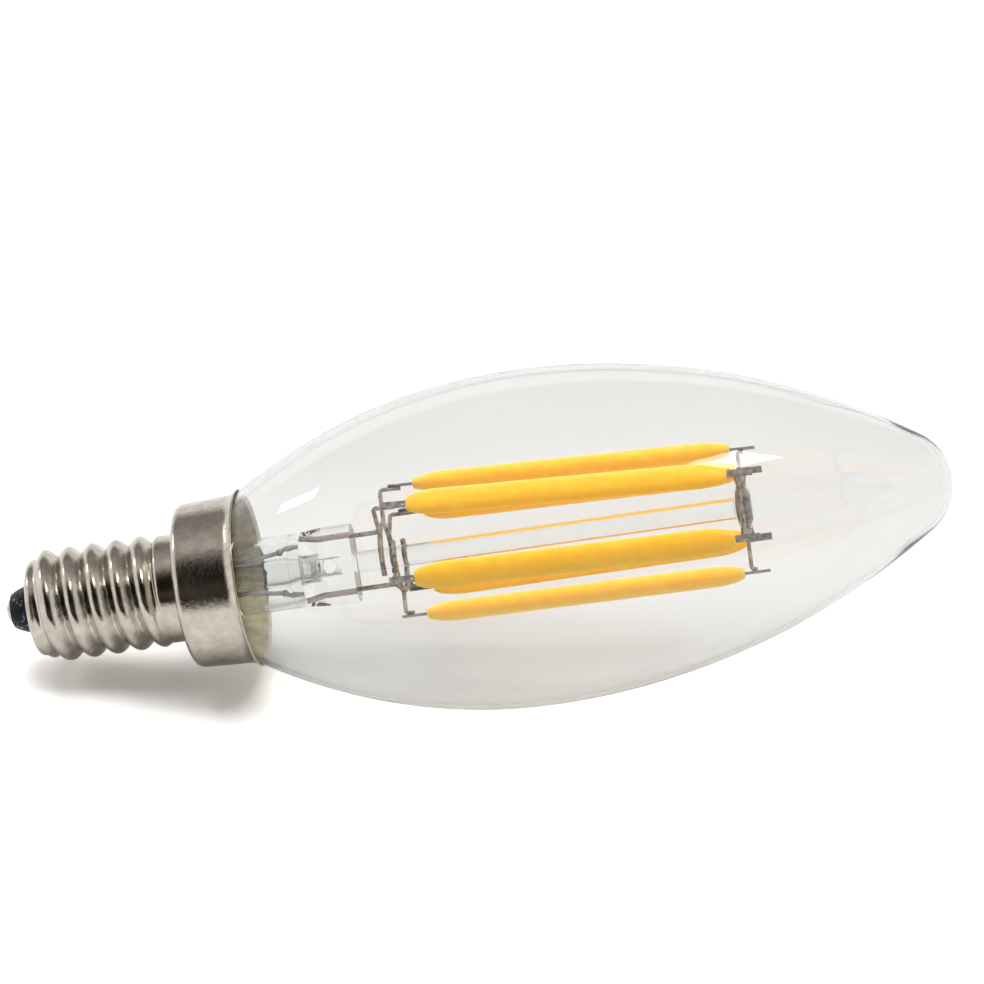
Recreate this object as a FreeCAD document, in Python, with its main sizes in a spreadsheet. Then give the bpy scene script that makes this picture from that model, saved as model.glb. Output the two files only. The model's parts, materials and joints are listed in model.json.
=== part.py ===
# Candle bulb with six light rods, lying on its belly, in millimetres.
# Each piece is drawn upright: +Z runs along the bulb from the centre contact to the glass tip.
# The last step lays every piece down with one common placement, tip towards +X.
import FreeCAD, Part
import math
import os
import Sketcher

V = FreeCAD.Vector
doc = FreeCAD.newDocument("candle_bulb")
sheet = doc.addObject("Spreadsheet::Sheet", "Sizes")

# Driving dimensions. Heights are measured from the centre contact, up the bulb.
SIZES = {
    # glass envelope
    "overall_length": 100.0,
    "glass_radius": 17.5,
    "belly_height": 56.0,
    "belly_arc": 57.0,
    "nose_arc": 74.5,
    "glass_wall": 0.55,
    "neck_radius": 7.6,
    "neck_bottom": 20.6,
    # screw shell, rolled from thin plated sheet
    "thread_pitch": 2.54,
    "thread_root_radius": 5.1,
    "thread_depth": 0.85,
    "thread_phase": 1.04,
    "thread_take_up": 1.15,
    "crest_sharpness": 1.4,
    "shell_sheet": 0.25,
    "shell_bottom": 2.9,
    "shell_shoulder": 0.7,
    "shoulder_foot_step": 0.56,
    "shoulder_knee_step": 0.154,
    "shoulder_knee_rise": 0.28,
    "shell_top": 19.65,
    "shell_neck_radius": 5.66,
    "shell_neck_height": 17.4,
    "shell_mouth_radius": 2.6,
    "flange_radius": 6.6,
    "flange_thickness": 0.3,
    # collar
    "collar_sheet": 0.25,
    "collar_base_radius": 8.6,
    "collar_rim_radius": 8.85,
    "collar_corner": 0.8,
    "collar_top": 26.2,
    "lip_height": 1.0,
    "lip_clearance": 0.05,
    "neck_hole_clearance": 0.04,
    # cement ring
    "cement_top": 25.0,
    "cement_inner_radius": 6.9,
    # base insulator and centre contact
    "insulator_tip_radius": 1.8,
    "insulator_arc": 5.0,
    "insulator_bottom": 0.6,
    "insulator_plug_radius": 4.1,
    "insulator_plug_thickness": 1.3,
    "contact_radius": 1.35,
    "contact_flat_radius": 0.5,
    "contact_shank_radius": 0.7,
    "contact_shank_top": 1.7,
    # stem: flare tube, flat press and exhaust tube
    "flare_rim_height": 1.2,
    "flare_foot_height": 25.0,
    "stem_radius": 3.9,
    "stem_wall": 0.7,
    "stem_tube_top": 31.0,
    "cavity_top": 32.0,
    "press_bottom": 34.0,
    "press_top": 37.4,
    "press_width": 8.2,
    "press_thickness": 3.6,
    "press_inset": 0.08,
    "exhaust_radius": 1.5,
    "exhaust_wall": 0.45,
    "exhaust_bottom": 21.4,
    "exhaust_top": 33.5,
    "flare_arc": 4.6,
    "blow_hole_radius": 0.75,
    "blow_hole_height": 36.0,
    "blow_hole_drop": 1.125,
    # central glass rod and the button on its end
    "rod_radius": 1.1,
    "button_radius": 2.35,
    "button_thickness": 1.8,
    # light rods
    "rod_count": 6,
    "cage_turn": -10.0,
    "cage_radius_base": 6.9,
    "cage_radius_tip": 6.5,
    "cage_rise_base": 0.5,
    "cage_drop_tip": 0.35,
    # small turns of single light rods from their even places in the ring, in degrees
    "base_shift_2": 4.4,
    "base_shift_3": 15.6,
    "base_shift_5": -4.0,
    "base_shift_6": 4.7,
    "tip_shift_2": 11.9,
    "tip_shift_3": 18.8,
    "tip_shift_5": 2.0,
    "tip_shift_6": 4.5,
    "light_base": 44.3,
    "light_length": 33.3,
    "light_thickness": 2.1,
    "light_width": 2.95,
    "light_taper": 3.4,
    "light_end_radius": 0.5,
    "strip_width": 1.0,
    "strip_thickness": 0.35,
    "tab_length": 2.6,
    "tab_width": 0.75,
    "tab_thickness": 0.2,
    "tab_hole_radius": 0.17,
    # wires
    "lead_radius": 0.22,
    "lead_spread": 2.8,
    "lead_pass_rise": 1.6,
    "lead_pass_offset": 1.7,
    "lead_foot_rise": 2.4,
    "lead_straight": 0.9,
    "lead_pass_start": 1.0,
    "lead_pass_end": 1.5,
    "weld_spread": 2.1,
    "weld_offset": 0.85,
    "weld_radius": 0.36,
    "weld_height": 29.8,
    "press_wire_radius": 0.25,
    "ring_radius": 3.6,
    "ring_wire_radius": 0.28,
    "spoke_wire_radius": 0.22,
    "post_wire_radius": 0.25,
    "wire_bend": 0.6,
    "spoke_bend": 0.35,
    "upper_frame_drop": 3.5,
    "lower_frame_drop": 2.2,
    "spoke_overlap": 1.3,
    "tip_frame_gap": 0.7,
    "tip_ring_radius": 3.3,
    "frame_sweep": 235.0,
    # driver in the base
    "board_clearance": 0.1,
    "board_thickness": 0.8,
    "board_bottom": 5.4,
    "board_top": 18.4,
    "board_notch": 1.2,
    "resistor_radius": 1.05,
    "resistor_length": 5.6,
    "resistor_bottom": 7.2,
    "resistor_cap_length": 1.232,
    "resistor_slope": 0.37,
    "resistor_waist_radius": 0.861,
    "capacitor_radius": 1.85,
    "capacitor_length": 6.5,
    "capacitor_bottom": 6.6,
    "capacitor_groove": 0.185,
    "capacitor_groove_height": 0.74,
    "chip_thickness": 1.5,
    "chip_height": 15.3,
    "rectifier_width": 4.0,
    "rectifier_length": 3.4,
    "driver_chip_width": 3.9,
    "driver_chip_length": 3.4,
    "leg_width": 0.4,
    "leg_reach": 0.7,
    "base_wire_radius": 0.25,
    "contact_wire_rise": 0.4,
    "contact_wire_climb": 1.375,
    "contact_wire_bend": 0.5,
    "shell_wire_reach": 2.4,
    "shell_wire_rise": 0.2,
    "shell_wire_drop": 0.1,
    "shell_wire_end": 0.3,
    "shell_wire_bend": 0.3,
    # How far the lying bulb is rolled about its own axis
    "lie_turn": -34.17,
}
for row, (alias, number) in enumerate(SIZES.items(), start=1):
    sheet.set(f"A{row}", alias)
    sheet.set(f"B{row}", str(number))
    sheet.setAlias(f"B{row}", alias)
doc.recompute()


# A size keeps its number together with the formula that a feature is bound to.
class Size:
    def __init__(self, number, formula):
        self.number = float(number)
        self.formula = formula

    def __add__(self, other):
        other = as_size(other)
        return Size(self.number + other.number, f"({self.formula} + {other.formula})")

    def __sub__(self, other):
        other = as_size(other)
        return Size(self.number - other.number, f"({self.formula} - {other.formula})")

    def __mul__(self, other):
        other = as_size(other)
        return Size(self.number * other.number, f"({self.formula} * {other.formula})")

    def __truediv__(self, other):
        other = as_size(other)
        return Size(self.number / other.number, f"({self.formula} / {other.formula})")

    def __radd__(self, other):
        return as_size(other) + self

    def __rsub__(self, other):
        return as_size(other) - self

    def __rmul__(self, other):
        return as_size(other) * self

    def __float__(self):
        return self.number


def as_size(value):
    if isinstance(value, Size):
        return value
    return Size(value, repr(float(value)))


def root(size):
    return Size(math.sqrt(size.number), f"sqrt({size.formula})")


def named(alias):
    return Size(float(sheet.get(alias)), f"Sizes.{alias}")


ZERO = as_size(0)
subparts = []


def keep(feature, label, place=None):
    """Name a finished sub-part and put it where it belongs on the upright bulb."""
    feature.Label = label
    feature.Placement = (place or FreeCAD.Placement()).multiply(feature.Placement)
    subparts.append(feature)
    return feature


# Sketches: a closed outline from corners, each joined to the next by a line or an arc
def arc_between(start, end, radius, centre_left):
    chord = end - start
    half = chord.Length / 2
    sagitta_leg = math.sqrt(max(radius**2 - half**2, 0))
    left = V(-chord.y, chord.x, 0).normalize()
    centre = (start + end) * 0.5 + left * (sagitta_leg if centre_left else -sagitta_leg)
    first, last = (start, end) if centre_left else (end, start)
    a0 = math.atan2(first.y - centre.y, first.x - centre.x)
    a1 = math.atan2(last.y - centre.y, last.x - centre.x)
    if a1 <= a0:
        a1 += 2 * math.pi
    return Part.ArcOfCircle(Part.Circle(centre, V(0, 0, 1), radius), a0, a1)


def outline(body, name, corners, plane="XZ_Plane", offset=0.0):
    """Corners are (across, up) or (across, up, arc radius, centre_left) for the edge that follows."""
    sketch = body.newObject("Sketcher::SketchObject", name)
    planes = [f for f in body.Origin.OriginFeatures if f.Role == plane]
    sketch.AttachmentSupport = [(planes[0], "")]
    sketch.MapMode = "FlatFace"
    sketch.AttachmentOffset = FreeCAD.Placement(V(0, 0, offset), FreeCAD.Rotation())
    points = [V(float(c[0]), float(c[1]), 0) for c in corners]
    edges = []
    for index, corner in enumerate(corners):
        start = points[index]
        end = points[(index + 1) % len(points)]
        if len(corner) == 4:
            geometry = arc_between(start, end, float(corner[2]), corner[3])
            ends = (1, 2) if corner[3] else (2, 1)
        else:
            geometry = Part.LineSegment(start, end)
            ends = (1, 2)
        edges.append((sketch.addGeometry(geometry, False), ends))
    for index, corner in enumerate(corners):
        edge, (begin, _) = edges[index]
        before, (_, finish) = edges[index - 1]
        sketch.addConstraint(Sketcher.Constraint("Coincident", before, finish, edge, begin))
        across, up = as_size(corner[0]), as_size(corner[1])
        pin(sketch, "DistanceX", -2, edge, begin, across)
        pin(sketch, "DistanceY", -1, edge, begin, up)
        if len(corner) == 4:
            radius = as_size(corner[2])
            datum = sketch.addConstraint(Sketcher.Constraint("Radius", edge, radius.number))
            sketch.setExpression(f"Constraints[{datum}]", radius.formula)
    return sketch


def pin(sketch, kind, axis, edge, point, size):
    """Hold one coordinate of a corner: on the axis where it is zero, else at its own size."""
    if size.number == 0:
        sketch.addConstraint(Sketcher.Constraint("PointOnObject", edge, point, axis))
        return
    datum = sketch.addConstraint(Sketcher.Constraint(kind, -1, 1, edge, point, size.number))
    sketch.setExpression(f"Constraints[{datum}]", size.formula)


def new_body(label):
    return doc.addObject("PartDesign::Body", label)


def turned(label, corners, place=None):
    """A piece turned about the bulb's axis from its half section."""
    body = new_body(label)
    section = outline(body, f"{label}_section", corners)
    turn = body.newObject("PartDesign::Revolution", f"{label}_turn")
    turn.Profile = section
    turn.ReferenceAxis = (section, ["V_Axis"])
    turn.Angle = 360
    return keep(body, label, place)


def bound(feature, **sizes):
    """Bind a primitive's own properties to sizes."""
    for prop, size in sizes.items():
        size = as_size(size)
        setattr(feature, prop, size.number)
        feature.setExpression(prop, size.formula)
    return feature


def box(name, width, depth, height, centre=(0, 0, 0)):
    """A block whose lower face is centred on a point."""
    block = bound(doc.addObject("Part::Box", name), Length=width, Width=depth, Height=height)
    block.Placement.Base = V(*map(float, centre)) - V(float(width) / 2, float(depth) / 2, 0)
    return block


def cylinder(name, radius, height, foot, along=V(0, 0, 1)):
    """A round bar from its foot, along a direction."""
    bar = bound(doc.addObject("Part::Cylinder", name), Radius=radius, Height=height)
    bar.Placement = FreeCAD.Placement(V(*map(float, foot)), FreeCAD.Rotation(V(0, 0, 1), along))
    return bar


def combined(kind, name, base, tools):
    """A cut of base by tools, or the tools and base joined."""
    if kind == "cut" and len(tools) == 1:
        feature = doc.addObject("Part::Cut", name)
        feature.Base = base
        feature.Tool = tools[0]
        return feature
    if kind == "cut":
        joined = doc.addObject("Part::MultiFuse", f"{name}_tools")
        joined.Shapes = tools
        return combined("cut", name, base, [joined])
    feature = doc.addObject("Part::MultiFuse", name)
    feature.Shapes = [base] + tools
    return feature


# Wires: straight runs joined by tangent bends, with a round section swept along them
def bent_path(points, bend):
    edges = []
    here = points[0]
    for before, corner, after in zip(points, points[1:], points[2:]):
        incoming = (corner - before).normalize()
        outgoing = (after - corner).normalize()
        turn = incoming.getAngle(outgoing)
        reach = bend * math.tan(turn / 2)
        start = corner - incoming * reach
        end = corner + outgoing * reach
        inward = (outgoing - incoming).normalize()
        middle = corner + inward * (bend / math.cos(turn / 2) - bend)
        edges.append(Part.LineSegment(here, start).toShape())
        edges.append(Part.Arc(start, middle, end).toShape())
        here = end
    edges.append(Part.LineSegment(here, points[-1]).toShape())
    return Part.Wire(edges)


def swept(path, radius):
    first = path.Edges[0]
    begin = first.FirstParameter
    section = Part.makeCircle(radius, first.valueAt(begin), first.tangentAt(begin))
    return path.makePipeShell([Part.Wire(section)], True, False)


def wire(points, radius, bend=None):
    if len(points) == 2:
        return Part.makeCylinder(radius, (points[1] - points[0]).Length, points[0], points[1] - points[0])
    return swept(bent_path(points, bend or float(named("wire_bend"))), radius)


def shaped(label, shape):
    feature = doc.addObject("Part::Feature", label)
    feature.Shape = shape
    return keep(feature, label)


# Glass envelope: two long arcs and a small round tip, blown to one even wall
belly = named("belly_height")
belly_arc = named("belly_arc")
nose_arc = named("nose_arc")
glass_radius = named("glass_radius")
length = named("overall_length")
glass_wall = named("glass_wall")
neck_radius = named("neck_radius")
nose_reach = length - belly
nose_axis = nose_arc - glass_radius
nose_squares = nose_arc * nose_arc - nose_reach * nose_reach - nose_axis * nose_axis
tip_arc = nose_squares / (2 * (nose_arc - nose_reach))


def belly_radius_at(height, inset=0.0):
    arc = belly_arc - inset
    rise = belly - height
    return glass_radius - belly_arc + root(arc * arc - rise * rise)


def belly_height_at(radius, inset=0.0):
    arc = belly_arc - inset
    across = radius - glass_radius + belly_arc
    return belly - root(arc * arc - across * across)


def nose_joint(inset=0.0):
    """The point where the long nose arc meets the tip arc."""
    arc = nose_arc - inset
    centres = nose_arc - tip_arc
    across = nose_axis * arc / centres - nose_axis
    up = belly + arc * (nose_reach - tip_arc) / centres
    return across, up


neck_inner = neck_radius - glass_wall
outer_joint = nose_joint()
inner_joint = nose_joint(glass_wall)
turned("glass_envelope", [
    (neck_radius, named("neck_bottom")),
    (neck_radius, belly_height_at(neck_radius), belly_arc, True),
    (glass_radius, belly, nose_arc, True),
    (outer_joint[0], outer_joint[1], tip_arc, True),
    (ZERO, length),
    (ZERO, length - glass_wall, tip_arc - glass_wall, False),
    (inner_joint[0], inner_joint[1], nose_arc - glass_wall, False),
    (glass_radius - glass_wall, belly, belly_arc - glass_wall, False),
    (neck_inner, belly_height_at(neck_inner, glass_wall)),
    (neck_inner, named("neck_bottom")),
])

# Collar: a drawn cup with a round bottom corner and a lip that opens along the glass
collar_sheet = named("collar_sheet")
collar_floor = named("shell_top") - collar_sheet
collar_top = named("collar_top")
lip_foot = collar_top - named("lip_height")
lip_inner = belly_radius_at(collar_top) + named("lip_clearance")
corner = named("collar_corner")
collar_base = named("collar_base_radius")
collar_rim = named("collar_rim_radius")
neck_hole = named("shell_neck_radius") + named("neck_hole_clearance")
turned("collar", [
    (neck_hole, collar_floor),
    (collar_base - corner, collar_floor, corner, True),
    (collar_base, collar_floor + corner),
    (collar_rim, lip_foot),
    (lip_inner + collar_sheet, collar_top),
    (lip_inner, collar_top),
    (collar_rim - collar_sheet, lip_foot),
    (collar_base - collar_sheet, collar_floor + corner, corner - collar_sheet, False),
    (collar_base - corner, collar_floor + collar_sheet),
    (neck_hole, collar_floor + collar_sheet),
])

# Cement between the collar and the glass neck; the glass stands on its inner ledge
cement_top = named("cement_top")
cement_side = collar_base - collar_sheet
cement_rise = (cement_top - collar_floor - corner) / (lip_foot - collar_floor - corner)
turned("cement_ring", [
    (named("cement_inner_radius"), named("shell_top")),
    (collar_base - corner, named("shell_top"), corner - collar_sheet, True),
    (cement_side, collar_floor + corner),
    (cement_side + (collar_rim - collar_base) * cement_rise, cement_top),
    (belly_radius_at(cement_top), cement_top, belly_arc, False),
    (neck_radius, belly_height_at(neck_radius)),
    (neck_radius, named("neck_bottom")),
    (named("cement_inner_radius"), named("neck_bottom")),
])

# Base insulator: black glass cone with an inner plug, pierced for the contact and its wire
insulator_bottom = named("insulator_bottom")
shell_bottom = named("shell_bottom")
plug_bottom = shell_bottom + named("shell_sheet")
plug_top = plug_bottom + named("insulator_plug_thickness")
shank = named("contact_shank_radius")
shank_top = named("contact_shank_top")
base_wire = named("base_wire_radius")
turned("base_insulator", [
    (shank, insulator_bottom),
    (named("insulator_tip_radius"), insulator_bottom, named("insulator_arc"), True),
    (named("shell_mouth_radius"), shell_bottom),
    (named("shell_mouth_radius"), plug_bottom),
    (named("insulator_plug_radius"), plug_bottom),
    (named("insulator_plug_radius"), plug_top),
    (base_wire, plug_top),
    (base_wire, shank_top),
    (shank, shank_top),
])

# Centre contact: a solder dome, pressed flat at its crown, on a short shank
contact = named("contact_radius")
contact_flat = named("contact_flat_radius")
dome_reach = contact - contact_flat
dome_arc = (dome_reach * dome_reach + insulator_bottom * insulator_bottom) / (2 * insulator_bottom)
turned("centre_contact", [
    (ZERO, ZERO),
    (contact_flat, ZERO, dome_arc, True),
    (contact, insulator_bottom),
    (shank, insulator_bottom),
    (shank, shank_top),
    (ZERO, shank_top),
])

# Screw shell: rings lofted into a helical roll, inside and out, so the sheet keeps one thickness
RING_SIDES = 28
RINGS_PER_TURN = 8
pitch = float(named("thread_pitch"))
thread_root = float(named("thread_root_radius"))
thread_depth = float(named("thread_depth"))
sheet_metal = float(named("shell_sheet"))
shell_floor = float(shell_bottom)
shell_neck = float(named("shell_neck_radius"))
shell_roof = float(named("shell_top"))
shoulder = float(named("shell_shoulder"))
roll_start = shell_floor + shoulder
roll_end = float(named("shell_neck_height"))
thread_phase = float(named("thread_phase"))
take_up = float(named("thread_take_up"))


def shell_ring(radius, height, depth=0.0):
    """One closed ring of the shell; depth lifts it where the helical crest passes."""
    corners = []
    for side in range(RING_SIDES):
        angle = 2 * math.pi * side / RING_SIDES
        phase = 2 * math.pi * (height - thread_phase) / pitch - angle
        crest = ((1 + math.cos(phase)) / 2) ** float(named("crest_sharpness"))
        reach = radius + depth * crest
        corners.append(V(reach * math.cos(angle), reach * math.sin(angle), height))
    return Part.makePolygon(corners + corners[:1])


def fraction(value):
    return max(0.0, min(1.0, value))


def rolled_rings(inset):
    """Rings from the shoulder to the plain neck; the crest fades in and out over part of a turn."""
    rings = []
    steps = int((roll_end - roll_start) / pitch * RINGS_PER_TURN)
    for step in range(steps + 1):
        height = roll_start + (roll_end - roll_start) * step / steps
        fade = min(fraction((height - roll_start) / take_up), fraction((roll_end - height) / take_up))
        widen = fraction((height - roll_end + take_up) / take_up) * (shell_neck - thread_root)
        rings.append(shell_ring(thread_root + widen - inset, height, thread_depth * fade))
    return rings


def shell_skin(inset, floor, roof):
    """The shell's outline at one inset; the round shoulder is set in by half of it at its foot."""
    foot = shell_ring(thread_root - float(named("shoulder_foot_step")) - inset / 2, floor)
    knee_radius = thread_root - float(named("shoulder_knee_step")) - inset
    knee = shell_ring(knee_radius, floor + float(named("shoulder_knee_rise")))
    neck = shell_ring(shell_neck - inset, roof)
    return Part.makeLoft([foot, knee] + rolled_rings(inset) + [neck], True, True)


def screw_shell():
    skin = shell_skin(0.0, shell_floor, shell_roof)
    hollow = shell_skin(sheet_metal, shell_floor + sheet_metal, shell_roof + sheet_metal)
    mouth_foot = V(0, 0, shell_floor - sheet_metal / 2)
    mouth = Part.makeCylinder(float(named("shell_mouth_radius")), 2 * sheet_metal, mouth_foot)
    flange_height = float(named("flange_thickness"))
    flange = Part.makeCylinder(float(named("flange_radius")), flange_height, V(0, 0, shell_roof))
    hole_foot = V(0, 0, shell_roof - flange_height)
    flange = flange.cut(Part.makeCylinder(shell_neck - 2 * sheet_metal, 3 * flange_height, hole_foot))
    return skin.cut(hollow).cut(mouth).fuse(flange)


shaped("screw_shell", screw_shell())

# Stem: the flare tube, its rim sealed to the glass neck, and the flat press at its end
def half_section(corners):
    """A flat face beside the axis, from the same corners as an outline, ready to be turned."""
    points = [V(float(c[0]), float(c[1]), 0) for c in corners]
    edges = []
    for start, end, corner in zip(points, points[1:] + points[:1], corners):
        if len(corner) == 4:
            edges.append(arc_between(start, end, float(corner[2]), corner[3]).toShape())
        else:
            edges.append(Part.LineSegment(start, end).toShape())
    face = Part.Face(Part.Wire(edges))
    face.rotate(V(0, 0, 0), V(1, 0, 0), 90)
    return face


def revolved(corners):
    return half_section(corners).revolve(V(0, 0, 0), V(0, 0, 1), 360)


stem_radius = float(named("stem_radius"))
stem_inner = stem_radius - float(named("stem_wall"))
neck_bottom = float(named("neck_bottom"))
flare_top = neck_bottom + float(named("flare_rim_height"))
flare_foot = float(named("flare_foot_height"))
tube_top = float(named("stem_tube_top"))
cavity_top = float(named("cavity_top"))
press_top = float(named("press_top"))
exhaust = float(named("exhaust_radius"))
exhaust_top = float(named("exhaust_top"))
exhaust_bore = exhaust - float(named("exhaust_wall"))
lead_spread = float(named("lead_spread"))
press_wire = float(named("press_wire_radius"))
press_inset = float(named("press_inset"))


def flared_tube(radius, rim, top):
    return revolved([
        (0, neck_bottom),
        (rim, neck_bottom),
        (rim, flare_top, float(named("flare_arc")), False),
        (radius, flare_foot),
        (radius, top),
        (0, top),
    ])


def press_section(height, width, thickness):
    """A flat-sided outline with round ends, across the press."""
    flat = (width - thickness) / 2
    side = thickness / 2
    right = Part.Arc(V(flat, -side, height), V(flat + side, 0, height), V(flat, side, height)).toShape()
    left = Part.Arc(V(-flat, side, height), V(-flat - side, 0, height), V(-flat, -side, height)).toShape()
    far = Part.LineSegment(V(flat, side, height), V(-flat, side, height)).toShape()
    near = Part.LineSegment(V(-flat, -side, height), V(flat, -side, height)).toShape()
    return Part.Wire([right, far, left, near])


def stem_glass():
    width = float(named("press_width"))
    thickness = float(named("press_thickness"))
    shoulder_height = float(named("press_bottom"))
    tube_width = 2 * (stem_radius - press_inset)
    outer = flared_tube(stem_radius, float(neck_inner), tube_top)
    taper = Part.makeLoft([
        press_section(tube_top, tube_width, tube_width - press_inset),
        press_section(shoulder_height, width, thickness),
    ], True, True)
    press = Part.Face(press_section(shoulder_height, width, thickness))
    press = press.extrude(V(0, 0, press_top - shoulder_height))
    glass = outer.fuse([taper, press])
    glass = glass.cut(flared_tube(stem_inner, float(neck_inner - glass_wall), cavity_top))
    blow_height = float(named("blow_hole_height"))
    blow_radius = float(named("blow_hole_radius"))
    blow_foot = V(0, 0, blow_height - float(named("blow_hole_drop")))
    bores = [
        Part.makeCylinder(exhaust, exhaust_top - neck_bottom, V(0, 0, neck_bottom)),
        Part.makeCylinder(exhaust_bore, blow_height - exhaust_top, V(0, 0, exhaust_top)),
        Part.makeCylinder(blow_radius, thickness, blow_foot, V(0, -1, 0)),
    ]
    for side in (-1, 1):
        bores.append(Part.makeCylinder(press_wire, width, V(side * lead_spread, 0, cavity_top)))
    for bore in bores:
        glass = glass.cut(bore)
    return glass


shaped("stem_glass", stem_glass())
turned("exhaust_tube", [
    (ZERO, named("exhaust_bottom"), named("exhaust_radius"), True),
    (named("exhaust_radius"), named("exhaust_bottom") + named("exhaust_radius")),
    (named("exhaust_radius"), named("exhaust_top")),
    (named("exhaust_radius") - named("exhaust_wall"), named("exhaust_top")),
    (named("exhaust_radius") - named("exhaust_wall"), named("exhaust_bottom") + named("exhaust_radius")),
    (ZERO, named("exhaust_bottom") + 2 * named("exhaust_wall")),
])

# Central glass rod, fused to the press, with a button that holds the tip frame
button = named("button_radius")
button_edge = named("button_thickness") / 2
tip_frame_level = named("light_base") + named("light_length") + named("tip_frame_gap")
button_bottom = tip_frame_level - button_edge
tip_frame_height = float(tip_frame_level)
tip_ring = float(named("tip_ring_radius"))
spoke_wire = float(named("spoke_wire_radius"))
ring_wire = float(named("ring_wire_radius"))
rod = turned("rod_blank", [
    (ZERO, named("press_top")),
    (named("rod_radius"), named("press_top")),
    (named("rod_radius"), button_bottom),
    (button - button_edge, button_bottom, button_edge, True),
    (button, button_bottom + button_edge, button_edge, True),
    (button - button_edge, tip_frame_level + button_edge),
    (ZERO, tip_frame_level + button_edge),
])
subparts.remove(rod)
cross_hole = cylinder("cross_wire_hole", named("spoke_wire_radius"), 2 * named("tip_ring_radius"),
                      (-tip_ring, 0, tip_frame_height), V(1, 0, 0))
keep(combined("cut", "rod_with_hole", rod, [cross_hole]), "glass_rod")


# Light rods: each a glowing coat over a strip, with a metal tab at each end
def cage_point(radius, rise, turn, height):
    """A point of the cage; rise lifts the whole ring towards the upper side of the lying bulb."""
    angle = math.radians(turn)
    return V(radius * math.cos(angle) - rise, radius * math.sin(angle), height)


rod_count = int(float(named("rod_count")))
light_base = float(named("light_base"))
light_length = named("light_length")
numbers = range(1, rod_count + 1)


def even_turn(number):
    """A light rod's even place in the ring, in degrees about the cage axis."""
    return float(named("cage_turn")) + (number - 1) * 360 / rod_count


def turn_at(end, number):
    """Where the light rod really stands at one end, with the small turn that it has there."""
    alias = f"{end}_shift_{number}"
    shift = float(named(alias)) if alias in SIZES else 0.0
    return even_turn(number) + shift


def light_ends(number):
    light_tip = light_base + float(light_length)
    rise = float(named("cage_rise_base"))
    drop = float(named("cage_drop_tip"))
    base = cage_point(float(named("cage_radius_base")), rise, turn_at("base", number), light_base)
    tip = cage_point(float(named("cage_radius_tip")), -drop, turn_at("tip", number), light_tip)
    return base, tip


def light_place(number):
    """The light rod's own frame: z along it, x away from the cage axis, y across its flat."""
    base, tip = light_ends(number)
    along = (tip - base).normalize()
    middle = math.radians((turn_at("base", number) + turn_at("tip", number)) / 2)
    outward = V(math.cos(middle), math.sin(middle), 0)
    return FreeCAD.Placement(base, FreeCAD.Rotation(outward, V(), along, "ZXY"))


half_thick = named("light_thickness") / 2
end_radius = named("light_end_radius")
taper = named("light_taper")
taper_drop = half_thick - end_radius
taper_arc = (taper_drop * taper_drop + taper * taper) / (2 * taper_drop)
flat_width = named("light_width") - named("light_thickness")


def light_coat(label, place):
    body = new_body(label)
    side = [
        (end_radius, ZERO, taper_arc, True),
        (half_thick, taper),
        (half_thick, light_length - taper, taper_arc, True),
        (end_radius, light_length),
    ]
    other = [
        (ZERO - end_radius, light_length, taper_arc, True),
        (ZERO - half_thick, light_length - taper),
        (ZERO - half_thick, taper, taper_arc, True),
        (ZERO - end_radius, ZERO),
    ]
    pad = body.newObject("PartDesign::Pad", f"{label}_flat")
    pad.Profile = outline(body, f"{label}_side", side + other)
    pad.SideType = "Symmetric"
    bound(pad, Length=flat_width)
    for name, direction in (("near", 1), ("far", -1)):
        half = outline(body, f"{label}_{name}_half", side + [(ZERO, light_length), (ZERO, ZERO)])
        half.setExpression("AttachmentOffset.Base.z", (direction * flat_width / 2).formula)
        edge = body.newObject("PartDesign::Revolution", f"{label}_{name}_edge")
        edge.Profile = half
        edge.ReferenceAxis = (half, ["V_Axis"])
        edge.Angle = 180
        edge.Reversed = direction > 0
    slot = body.newObject("PartDesign::Pocket", f"{label}_slot")
    strip_half = named("strip_thickness") / 2
    slot.Profile = outline(body, f"{label}_slot_side", [
        (ZERO - strip_half, ZERO),
        (strip_half, ZERO),
        (strip_half, light_length),
        (ZERO - strip_half, light_length),
    ])
    slot.SideType = "Symmetric"
    bound(slot, Length=named("strip_width"))
    return keep(body, label, place)


def light_rod(number):
    place = light_place(number)
    light_coat(f"light_rod_{number}_coat", place)
    strip = box(f"strip_{number}", named("strip_thickness"), named("strip_width"), light_length)
    keep(strip, f"light_rod_{number}_strip", place)
    tab_length = named("tab_length")
    blank = box(f"base_tab_blank_{number}", named("tab_thickness"), named("tab_width"), tab_length,
                (0, 0, -float(tab_length)))
    hole_foot = (-2 * float(named("tab_thickness")), 0, -2 * float(named("tab_hole_radius")))
    hole = cylinder(f"base_tab_hole_{number}", named("tab_hole_radius"), 4 * named("tab_thickness"),
                    hole_foot, V(1, 0, 0))
    keep(combined("cut", f"base_tab_{number}", blank, [hole]), f"light_rod_{number}_base_tab", place)
    tip_tab = box(f"tip_tab_{number}", named("tab_thickness"), named("tab_width"), tab_length,
                  (0, 0, light_length))
    keep(tip_tab, f"light_rod_{number}_tip_tab", place)


for number in numbers:
    light_rod(number)


# Wires of the stem: outer leads with their welds, the sealed press wires, and the three frames
lead_wire = float(named("lead_radius"))
board_top = float(named("board_top"))
board_face = float(named("board_thickness")) / 2
weld_height = float(named("weld_height"))
lead_straight = float(named("lead_straight"))


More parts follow.
